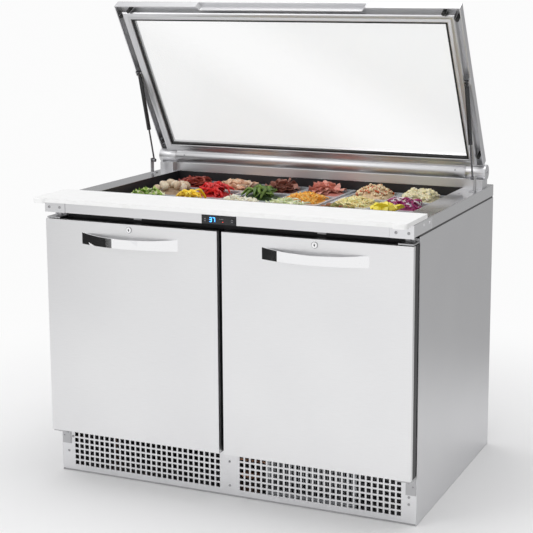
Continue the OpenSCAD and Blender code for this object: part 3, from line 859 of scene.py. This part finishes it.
def make_machinery():
    """Copper lines, a drier and a terminal box by the compressor, seen dimly through the grille."""
    comp_low, comp_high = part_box("compressor")
    coil_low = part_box("condenser_coil")[0]
    bm = bmesh.new()
    z = comp_high.z - 22 * MM
    start = Vector((comp_high.x - 40 * MM, comp_low.y + 30 * MM, z))
    end = Vector((coil_low.x + 6 * MM, coil_low.y + 30 * MM, z - 20 * MM))
    corner = Vector((start.x + 90 * MM, start.y, start.z))
    turn = Vector((corner.x, end.y, end.z))
    pipe(bm, bend_points([start, corner, turn, end], 24 * MM), 4 * MM)
    outlet = start - Vector((250 * MM, 0, 30 * MM))
    behind = outlet - Vector((0, 120 * MM, 0))
    beside = Vector((-520 * MM, behind.y, behind.z))
    floor = Vector((beside.x, beside.y, 12 * MM))
    pipe(bm, bend_points([outlet, behind, beside, floor], 24 * MM), 4.8 * MM)
    finish_piece("copper_lines", bm, "copper", "cabinet")
    bm = bmesh.new()
    centre = Vector((20 * MM, coil_low.y + 60 * MM, 30 * MM))
    outline = [(0, -50), (4, -50), (4, -40), (13, -30), (13, 30), (4, 40), (4, 50), (0, 50)]
    lathe(bm, in_mm(outline), centre, (1, 0, 0), 24)
    finish_piece("filter_drier", bm, "copper", "cabinet")
    bm = bmesh.new()
    box_low = (comp_low.x + 120 * MM, comp_low.y - 26 * MM, 60 * MM)
    bar(bm, box_low, (comp_low.x + 190 * MM, comp_low.y + 4 * MM, 112 * MM))
    bmesh.ops.bevel(bm, geom=bm.edges[:], offset=3 * MM, segments=3, affect="EDGES")
    finish_piece("terminal_box", bm, "black", "cabinet")


# ---------------------------------------------------------------- food


def tube_faces(steps, around):
    """Faces of a bar made of rings of points, with both ends closed."""
    faces = []
    for k in range(steps):
        for j in range(around):
            a, b = k * around + j, k * around + (j + 1) % around
            faces.append((a, b, b + around, a + around))
    faces.append(tuple(range(around - 1, -1, -1)))
    faces.append(tuple(range(steps * around, steps * around + around)))
    return faces


class Pile:
    """Morsels heaped in one pan, gathered into one mesh with a colour for each morsel."""

    def __init__(self, node, seed, crown=0.030, fill=0.010):
        low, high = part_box(node)
        self.node = node
        self.half_x = (high.x - low.x) / 2 - 19 * MM
        self.half_y = (high.y - low.y) / 2 - 22 * MM
        self.middle = Vector(((low.x + high.x) / 2, (low.y + high.y) / 2, high.z - fill))
        self.crown = crown
        self.draw = random.Random(seed)
        self.seed = seed
        self.bm = bmesh.new()
        self.tint = self.bm.verts.layers.float_color.new("tint")

    def height(self, x, y):
        """Height of the heap over the pan's fill line at a place given from -1 to 1 each way."""
        round_off = max(0.0, 1 - x * x) * max(0.0, 1 - y * y)
        lumps = noise.noise(Vector((x * 2.2, y * 2.2, self.seed * 3.7))) * 0.35
        return self.crown * (round_off ** 0.55) * (1 + lumps)

    def spot(self, edge=0.86):
        x = self.draw.uniform(-edge, edge)
        y = self.draw.uniform(-edge, edge)
        return x, y

    def point(self, x, y, lift=0.0):
        return self.middle + Vector((x * self.half_x, y * self.half_y, self.height(x, y) + lift))

    def color(self, colors, spread=0.12):
        base = self.draw.choice(colors)
        factor = 1 + self.draw.uniform(-spread, spread)
        return (*shade(base, factor), 1.0)

    def add(self, verts, faces, place, color):
        made = []
        for co in verts:
            vertex = self.bm.verts.new(place @ Vector(co))
            vertex[self.tint] = color
            made.append(vertex)
        for face in faces:
            self.bm.faces.new([made[k] for k in face])

    def bed(self, colors, steps=22):
        """The heap's own body, a closed lumpy dome from the pan's floor up."""
        grid = {}
        for i in range(steps + 1):
            for j in range(steps + 1):
                x = -1 + 2 * i / steps
                y = -1 + 2 * j / steps
                wobble = noise.noise(Vector((x * 9, y * 9, self.seed))) * 2.0 * MM
                vertex = self.bm.verts.new(self.point(x, y, -4 * MM + wobble))
                vertex[self.tint] = self.color(colors, 0.15)
                grid[i, j] = vertex
        for i in range(steps):
            for j in range(steps):
                self.bm.faces.new([grid[i, j], grid[i + 1, j], grid[i + 1, j + 1], grid[i, j + 1]])
        rim = [grid[i, 0] for i in range(steps)] + [grid[steps, j] for j in range(steps)]
        rim += [grid[i, steps] for i in range(steps, 0, -1)] + [grid[0, j] for j in range(steps, 0, -1)]
        floor = []
        for vertex in rim:
            inward = (self.middle - vertex.co) * 0.06
            foot = (vertex.co.x + inward.x, vertex.co.y + inward.y, self.middle.z - 40 * MM)
            low = self.bm.verts.new(foot)
            low[self.tint] = vertex[self.tint]
            floor.append(low)
        count = len(rim)
        for k in range(count):
            self.bm.faces.new([rim[k], floor[k], floor[(k + 1) % count], rim[(k + 1) % count]])
        self.bm.faces.new(floor)

    def pose(self, x, y, lift=0.0, tilt=0.5, size=1.0):
        """A random lie on the heap's surface."""
        turn = Matrix.Rotation(self.draw.uniform(0, 2 * math.pi), 4, "Z")
        lean_a = Matrix.Rotation(self.draw.uniform(-tilt, tilt), 4, "X")
        lean_b = Matrix.Rotation(self.draw.uniform(-tilt, tilt), 4, "Y")
        scale = Matrix.Diagonal((size, size, size, 1))
        return Matrix.Translation(self.point(x, y, lift)) @ turn @ lean_a @ lean_b @ scale

    def strip(self, place, length, width, thick, arch, color, steps=6, wave=0.0):
        """A bent strip with rounded ends."""
        verts = []
        for k in range(steps + 1):
            t = -1 + 2 * k / steps
            x = t * length / 2
            bend = arch * (1 - t * t) + wave * math.sin(t * 5)
            w = width / 2 * (1 - 0.55 * abs(t) ** 4)
            for y, z in ((-w, 0), (0, -thick * 0.35), (w, 0), (w * 0.7, thick), (-w * 0.7, thick)):
                verts.append((x, y + wave * math.cos(t * 4), z + bend))
        self.add(verts, tube_faces(steps, 5), place, color)

    def lump(self, place, size, color, rough=0.25, rings=6, segments=9):
        """A rounded irregular chunk."""
        offset = self.draw.uniform(0, 100)
        verts = [(0, 0, -size[2])]
        for i in range(1, rings):
            polar = math.pi * i / rings
            for j in range(segments):
                angle = 2 * math.pi * j / segments
                flat = math.sin(polar)
                unit = Vector((flat * math.cos(angle), flat * math.sin(angle), -math.cos(polar)))
                swell = 1 + rough * noise.noise(unit * 1.8 + Vector((offset, 0, 0)))
                verts.append((unit.x * size[0] * swell, unit.y * size[1] * swell, unit.z * size[2] * swell))
        verts.append((0, 0, size[2]))
        faces = []
        for j in range(segments):
            faces.append((0, 1 + (j + 1) % segments, 1 + j))
        for i in range(rings - 2):
            for j in range(segments):
                a = 1 + i * segments + j
                b = 1 + i * segments + (j + 1) % segments
                faces.append((a, b, b + segments, a + segments))
        top = len(verts) - 1
        last = 1 + (rings - 2) * segments
        for j in range(segments):
            faces.append((last + j, last + (j + 1) % segments, top))
        self.add(verts, faces, place, color)

    def sheet(self, place, radius, thick, curl, color, ruffle=0.0, segments=16):
        """A curled round slice or leaf with real thickness."""
        verts = []
        levels = (0.0, 0.45, 0.8, 1.0)
        offset = self.draw.uniform(0, 100)
        for side in (0, 1):
            for level in levels[1:]:
                for j in range(segments):
                    angle = 2 * math.pi * j / segments
                    around = Vector((math.cos(angle) * 2 + offset, math.sin(angle) * 2, 0))
                    wobble = 1 + 0.12 * noise.noise(around)
                    r = radius * level * wobble
                    x, y = r * math.cos(angle), r * math.sin(angle)
                    wave = ruffle * level * math.sin(angle * 5 + offset) * radius
                    z = curl * (x / radius) ** 2 * radius + wave
                    verts.append((x, y, z + side * thick))
        verts.append((0, 0, 0))
        verts.append((0, 0, thick))
        rows = len(levels) - 1
        side_count = rows * segments
        bottom, top = len(verts) - 2, len(verts) - 1
        faces = []
        for j in range(segments):
            nxt = (j + 1) % segments
            faces.append((bottom, nxt, j))
            faces.append((top, side_count + j, side_count + nxt))
            for row in range(rows - 1):
                a, b = row * segments + j, row * segments + nxt
                faces.append((a, b, b + segments, a + segments))
                a, b = a + side_count, b + side_count
                faces.append((a, a + segments, b + segments, b))
            a, b = (rows - 1) * segments + j, (rows - 1) * segments + nxt
            faces.append((a, b, b + side_count, a + side_count))
        self.add(verts, faces, place, color)

    def finish(self, material="food"):
        return finish_piece("food_" + self.node, self.bm, material, self.node + "_body")


def heap_shreds(pile, colors, count, length, width, bed, arch=0.2):
    """Shredded cheese, lettuce or onion."""
    pile.bed(bed)
    for _ in range(count):
        x, y = pile.spot()
        size = pile.draw.uniform(0.7, 1.25)
        place = pile.pose(x, y, pile.draw.uniform(-2, 4) * MM, 0.7, size)
        bend = length * arch * pile.draw.uniform(-0.4, 1.0)
        color = pile.color(colors)
        wave = width * pile.draw.uniform(0, 0.5)
        pile.strip(place, length, width, width * 0.6, bend, color, 5, wave)


def heap_lumps(pile, colors, count, size, bed, rough=0.3, squash=0.7):
    """Cubes, crumbs and chopped meat."""
    pile.bed(bed)
    for _ in range(count):
        x, y = pile.spot()
        s = size * pile.draw.uniform(0.55, 1.2)
        shape = (s, s * pile.draw.uniform(0.7, 1.0), s * squash)
        pile.lump(pile.pose(x, y, s * 0.25, 0.8), shape, pile.color(colors), rough)


def heap_slices(pile, colors, count, radius, bed, curl=0.35, ruffle=0.0):
    """Folded slices of meat or leaves."""
    pile.bed(bed)
    for _ in range(count):
        x, y = pile.spot(0.62)
        r = radius * pile.draw.uniform(0.7, 1.1)
        place = pile.pose(x, y, 2 * MM, 0.42)
        pile.sheet(place, r, 1.6 * MM, curl * pile.draw.uniform(-0.4, 1.0), pile.color(colors), ruffle)


def heap_mushrooms(pile):
    cream = [(0.72, 0.58, 0.42), (0.8, 0.68, 0.52), (0.66, 0.5, 0.34)]
    pile.bed([(0.3, 0.2, 0.12)])
    for _ in range(13):
        x, y = pile.spot(0.7)
        size = pile.draw.uniform(0.8, 1.15)
        place = pile.pose(x, y, 8 * MM, 1.1, size)
        color = pile.color(cream, 0.08)
        pile.lump(place, (17 * MM, 17 * MM, 12 * MM), color, 0.08, 8, 14)
        stem = place @ Matrix.Translation((0, 0, -12 * MM))
        pile.lump(stem, (6 * MM, 6 * MM, 12 * MM), pile.color([(0.82, 0.72, 0.58)], 0.05), 0.1, 6, 10)


def heap_strips(pile, colors, count, length, width, bed, arch=0.35):
    """Pepper strips or beans."""
    pile.bed(bed)
    for _ in range(count):
        x, y = pile.spot(0.55)
        place = pile.pose(x, y, 3 * MM, 0.5, pile.draw.uniform(0.75, 1.1))
        bend = length * arch * pile.draw.uniform(0.1, 1.0)
        pile.strip(place, length, width, width * 0.45, bend, pile.color(colors, 0.2), 8, width * 0.2)


def heap_rings(pile, colors, rims, bed):
    """Sliced onion: arcs of ring, most coloured like the outer skin and the rest pale."""
    pile.bed(bed)
    for _ in range(70):
        x, y = pile.spot(0.78)
        radius = pile.draw.uniform(9, 18) * MM
        place = pile.pose(x, y, 3 * MM, 0.9)
        sweep = pile.draw.uniform(2.2, 4.6)
        color = pile.color(rims if pile.draw.random() < 0.6 else colors, 0.15)
        steps = 9
        verts = []
        for k in range(steps + 1):
            angle = sweep * k / steps
            inside = radius - 2.4 * MM
            for r, z in ((radius, -2 * MM), (radius, 2 * MM), (inside, 2 * MM), (inside, -2 * MM)):
                verts.append((r * math.cos(angle), r * math.sin(angle), z))
        pile.add(verts, tube_faces(steps, 4), place, color)


def heap_lemon(pile):
    """Wedges of lemon, each a slice of a sphere with a cut inner face, all in one colour."""
    pile.bed([(0.75, 0.62, 0.1)])
    for _ in range(9):
        x, y = pile.spot(0.62)
        place = pile.pose(x, y, 6 * MM, 0.7, pile.draw.uniform(0.9, 1.15))
        length, radius = 30 * MM, 17 * MM
        verts, steps = [], 8
        for i in range(steps + 1):
            t = -1 + 2 * i / steps
            r = radius * math.sqrt(max(0.02, 1 - t * t))
            for angle in (-0.65, -0.32, 0.0, 0.32, 0.65):
                verts.append((t * length, r * math.sin(angle), r * math.cos(angle)))
            verts.append((t * length, 0, 1 * MM))
        color = pile.color([(0.95, 0.78, 0.05), (0.98, 0.85, 0.15)], 0.05)
        pile.add(verts, tube_faces(steps, 6), place, color)


def make_food():
    """Each pan's heap: the kind of morsel, its colours, how many, their size and the bed under them."""
    green = [(0.14, 0.28, 0.02), (0.28, 0.46, 0.05), (0.5, 0.64, 0.16)]
    pale = [(0.75, 0.78, 0.5), (0.85, 0.86, 0.68), (0.62, 0.7, 0.36)]
    heaps = {
        "pan_1_1": (heap_slices, green + pale[:1], 60, 22 * MM, [green[0]], 0.5, 0.3),
        "pan_1_2": (
            heap_strips, [(0.95, 0.6, 0.02), (0.98, 0.7, 0.05)],
            26, 60 * MM, 11 * MM, [(0.7, 0.45, 0.05)],
        ),
        "pan_1_3": (
            heap_lumps, [(0.88, 0.84, 0.66), (0.92, 0.9, 0.76)],
            60, 13 * MM, [(0.75, 0.7, 0.5)], 0.9,
        ),
        "pan_1_4": (heap_shreds, pale, 220, 42 * MM, 5 * MM, [pale[0]]),
        "pan_1_5": (
            heap_lumps, [(0.2, 0.19, 0.03), (0.34, 0.25, 0.05), (0.3, 0.1, 0.03)],
            80, 10 * MM, [(0.12, 0.1, 0.03)], 0.15,
        ),
        "pan_1_6": (heap_lemon,),
        "pan_2_1": (heap_mushrooms,),
        "pan_2_2": (
            heap_strips, [(0.62, 0.004, 0.006), (0.78, 0.01, 0.008)],
            34, 58 * MM, 11 * MM, [(0.45, 0.005, 0.005)],
        ),
        "pan_2_3": (
            heap_strips, [(0.06, 0.13, 0.01), (0.13, 0.22, 0.02)],
            34, 60 * MM, 11 * MM, [(0.03, 0.07, 0.01)],
        ),
        "pan_2_4": (
            heap_shreds, [(1.0, 0.44, 0.04), (1.0, 0.52, 0.08), (1.0, 0.66, 0.2)],
            560, 16 * MM, 3.2 * MM, [(0.95, 0.42, 0.05)],
        ),
        "pan_2_5": (
            heap_shreds, [(1.0, 0.86, 0.42), (1.0, 0.92, 0.58), (0.98, 0.8, 0.36)],
            560, 15 * MM, 3.2 * MM, [(0.95, 0.8, 0.38)],
        ),
        "pan_2_6": (
            heap_rings, [(0.86, 0.74, 0.8)],
            [(0.34, 0.01, 0.13), (0.45, 0.03, 0.2)], [(0.3, 0.03, 0.12)],
        ),
        "pan_3_1": (
            heap_slices, [(0.3, 0.03, 0.015), (0.42, 0.06, 0.03)],
            90, 17 * MM, [(0.25, 0.03, 0.02)], 0.6,
        ),
        "pan_3_2": (
            heap_lumps, [(0.85, 0.55, 0.36), (0.92, 0.7, 0.52), (0.75, 0.4, 0.25)],
            90, 13 * MM, [(0.7, 0.4, 0.25)], 0.7, 0.45,
        ),
        "pan_3_3": (
            heap_slices, [(0.26, 0.09, 0.06), (0.36, 0.15, 0.11)],
            34, 25 * MM, [(0.2, 0.07, 0.05)], 0.9, 0.12,
        ),
        "pan_3_4": (
            heap_slices, [(0.72, 0.26, 0.2), (0.8, 0.38, 0.3)],
            40, 24 * MM, [(0.6, 0.2, 0.16)], 0.9, 0.14,
        ),
        "pan_3_5": (
            heap_lumps, [(0.86, 0.66, 0.4), (0.9, 0.74, 0.5), (0.9, 0.72, 0.45), (0.6, 0.12, 0.03)],
            420, 4.5 * MM, [(0.82, 0.6, 0.36)], 0.4,
        ),
        "pan_3_6": (
            heap_lumps, [(0.88, 0.8, 0.52), (0.92, 0.86, 0.64), (0.84, 0.76, 0.46)],
            380, 5.5 * MM, [(0.8, 0.72, 0.45)], 0.6,
        ),
    }
    dry = ("pan_2_4", "pan_2_5", "pan_1_4")
    crowns = {"pan_3_5": 40 * MM, "pan_3_6": 36 * MM, "pan_2_1": 24 * MM, "pan_2_4": 26 * MM}
    for seed, node in enumerate(sorted(heaps)):
        heap, *details = heaps[node]
        pile = Pile(node, seed + 11, crowns.get(node, 22 * MM))
        heap(pile, *details)
        pile.finish("food_dry" if node in dry else "food")


# ---------------------------------------------------------------- build

make_camera()
make_studio()
MATERIALS = make_materials()
dress_nodes()
make_screws()
make_door_hardware()
make_display()
make_lid_mouldings()
make_machinery()
make_food()
